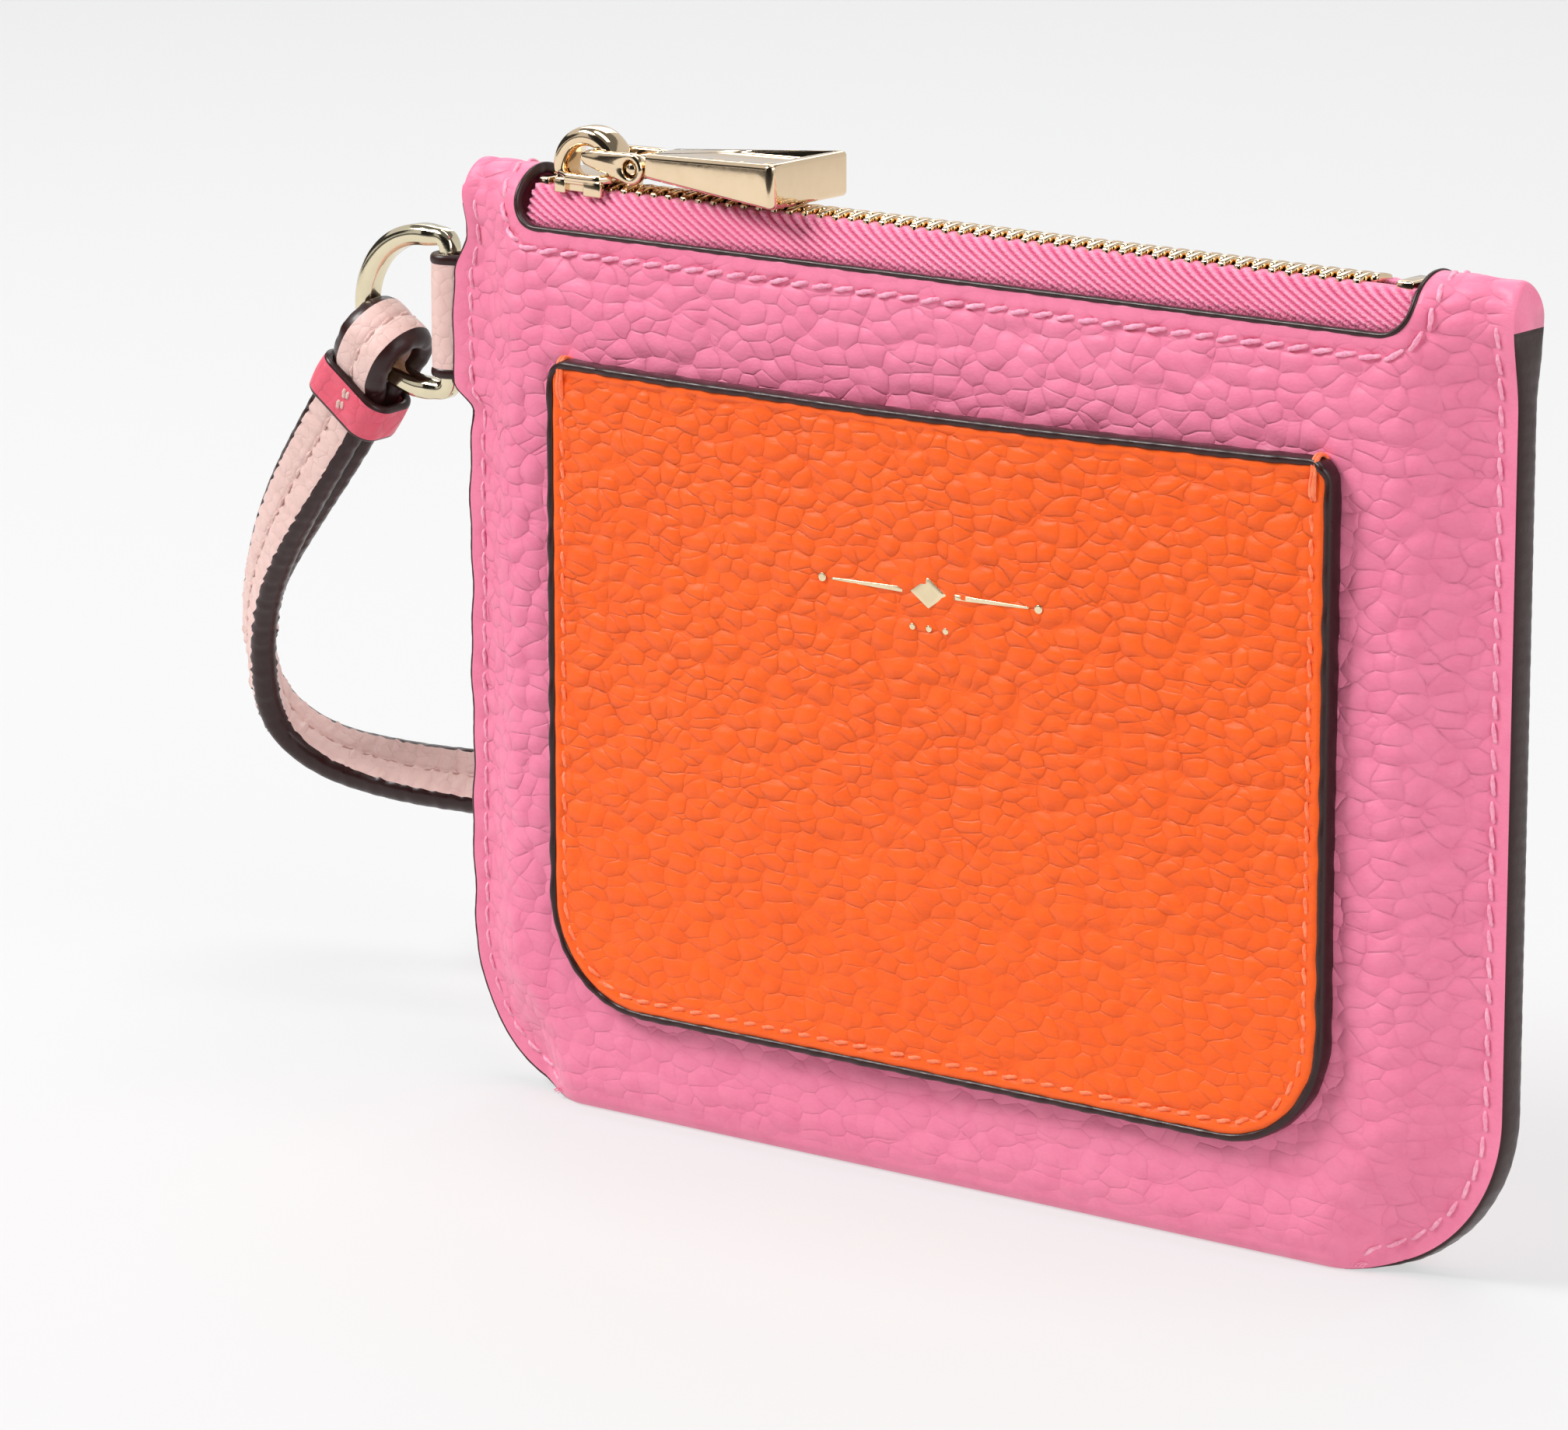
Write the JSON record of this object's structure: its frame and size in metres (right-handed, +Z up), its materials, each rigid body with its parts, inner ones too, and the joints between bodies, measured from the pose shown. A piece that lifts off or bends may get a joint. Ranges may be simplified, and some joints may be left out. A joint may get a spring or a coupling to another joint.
{
  "type": "wristlet wallet",
  "caption": "Zip-top leather wristlet wallet with a front slip pocket, a D-ring at the side seam and a looped wrist strap.",
  "frame": {"origin": "middle of the flat underside of the bottom fold", "axes": "+X along the zip from the closed end to the far end, -Y the front with the slip pocket, +Z up, wallet standing on its bottom fold"},
  "size_m": [0.211, 0.0628, 0.1213],
  "materials": {
    "body_leather": "pebbled, semi-matt",
    "pocket_leather": "pebbled, semi-matt",
    "strap_leather": "pebbled, semi-matt",
    "keeper_leather": "fine grain, satin",
    "zip_tape": "twill weave",
    "gold_metal": "polished pale gold plating",
    "board": "bonded fibre board",
    "lining": "fine woven lining",
    "pink_thread": "twisted thread",
    "orange_thread": "twisted thread",
    "strap_thread": "twisted thread"
  },
  "bodies": {
    "wallet": {"outer_leather": "body_leather", "front_slip_pocket": "pocket_leather", "zip_tape_front": "zip_tape", "zip_tape_back": "zip_tape", "zip_teeth_front": "gold_metal", "zip_teeth_back": "gold_metal", "zip_top_stops": "gold_metal", "zip_bottom_stop": "gold_metal", "d_ring_tab": "strap_leather", "stiffener_front": "board", "stiffener_back": "board", "lining_front": "lining", "lining_back": "lining", "card_slots": "lining", "seam_thread": "pink_thread", "slot_thread": "pink_thread", "pocket_thread": "orange_thread"},
    "slider": {"slider_body": "gold_metal"},
    "link": {"puller_link": "gold_metal", "link_pin": "gold_metal"},
    "puller": {"puller_bar": "gold_metal"},
    "ring": {"d_ring": "gold_metal"},
    "strap": {"wrist_strap": "strap_leather", "strap_thread": "strap_thread", "strap_keeper": "keeper_leather", "keeper_thread": "strap_thread"}
  },
  "joints": [
    {"name": "slider_travel", "type": "slide", "parent": "wallet", "child": "slider", "axis": [1, 0, 0], "range_m": [0, 0.109], "deforming": ["zip_teeth_front", "zip_teeth_back", "zip_tape_front", "zip_tape_back"]},
    {"name": "link_lift", "type": "hinge", "parent": "slider", "child": "link", "pos_m": [-0.055, 0, 0.1179], "axis": [0, -1, 0], "range_deg": [0, 125]},
    {"name": "puller_lift", "type": "hinge", "parent": "link", "child": "puller", "pos_m": [-0.0483, 0, 0.1171], "axis": [0, -1, 0], "range_deg": [0, 60]},
    {"name": "ring_swing", "type": "hinge", "parent": "wallet", "child": "ring", "pos_m": [-0.0792, 0, 0.0958], "axis": [0, 0, 1], "range_deg": [-40, 75]},
    {"name": "strap_swing", "type": "hinge", "parent": "ring", "child": "strap", "pos_m": [-0.0907, 0, 0.0899], "axis": [0.6899, 0, -0.7239], "range_deg": [0, 30]}
  ]
}
